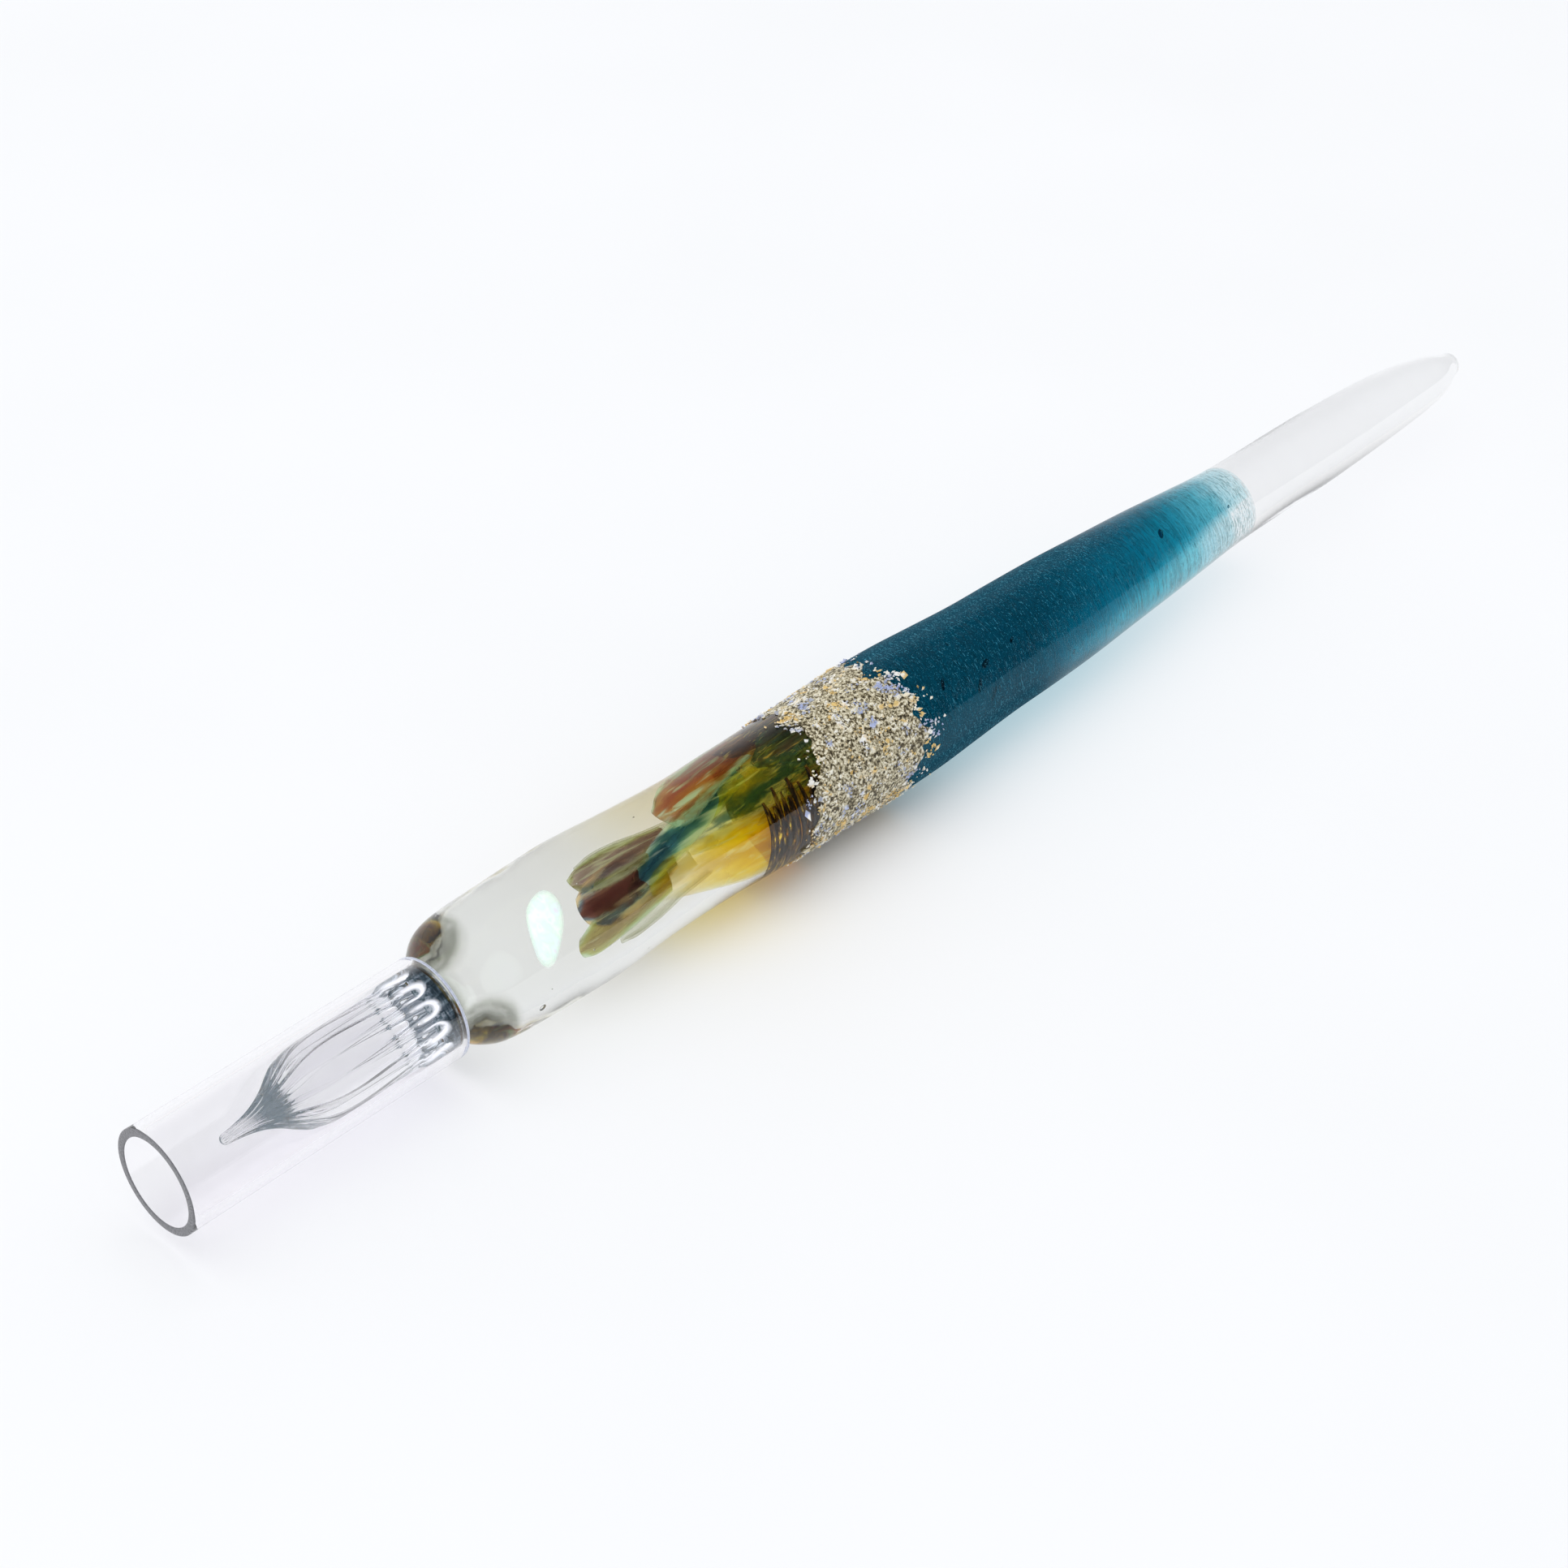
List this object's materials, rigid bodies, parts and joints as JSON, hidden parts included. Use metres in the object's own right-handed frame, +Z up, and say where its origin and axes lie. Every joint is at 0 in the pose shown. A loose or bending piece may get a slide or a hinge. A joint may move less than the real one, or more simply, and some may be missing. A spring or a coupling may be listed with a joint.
{
  "type": "glass dip pen",
  "caption": "Slim glass dip pen with a fluted nib under a clear push-on guard tube, a clear barrel holding coloured petals, a frit band and a blue-green tapered handle with a clear tail.",
  "frame": {"origin": "on the surface that the pen lies on, under the middle of its length, guard tube included", "axes": "+X along the pen from the guard tube's open end to the tail, +Z up from the surface, +Y across"},
  "size_m": [0.1764, 0.013, 0.013],
  "materials": {
    "guard_glass": "clear borosilicate tube, cut and fire-polished ends",
    "clear_glass": "clear flameworked glass",
    "teal_glass": "transparent blue-green glass, dark at the front and pale at the rear",
    "opal": "milky opal flake with mint and pink play of colour",
    "plum_glass": "striped purple-brown glass",
    "olive_glass": "striped olive and brown glass",
    "blue_glass": "blue-green streaked glass",
    "green_glass": "dark green streaked glass",
    "amber_glass": "amber-orange veil of glass",
    "yellow_glass": "bright yellow glass",
    "dark_thread": "dark brown thread glass with gold glints",
    "frit": "rough crushed glass, silver-beige with gold and dark specks"
  },
  "bodies": {
    "pen": {"nib": "clear_glass", "nib_seat": "clear_glass", "neck_collar": "clear_glass", "front_casing": "clear_glass", "core_rod": "clear_glass", "opal_chip": "opal", "petal_1": "olive_glass", "petal_2": "plum_glass", "petal_3": "olive_glass", "petal_4": "blue_glass", "petal_5": "plum_glass", "petal_6": "olive_glass", "orange_veil": "amber_glass", "green_gather": "green_glass", "yellow_gather": "yellow_glass", "blue_gather": "blue_glass", "plum_gather": "plum_glass", "thread_wrap_1": "dark_thread", "thread_wrap_2": "dark_thread", "thread_wrap_3": "dark_thread", "frit_band": "frit", "teal_section": "teal_glass", "clear_tail": "clear_glass"},
    "guard": {"guard_tube": "guard_glass"}
  },
  "joints": [
    {"name": "guard_slide", "type": "slide", "parent": "pen", "child": "guard", "axis": [-1, 0, 0], "range_m": [0, 0.03]}
  ]
}
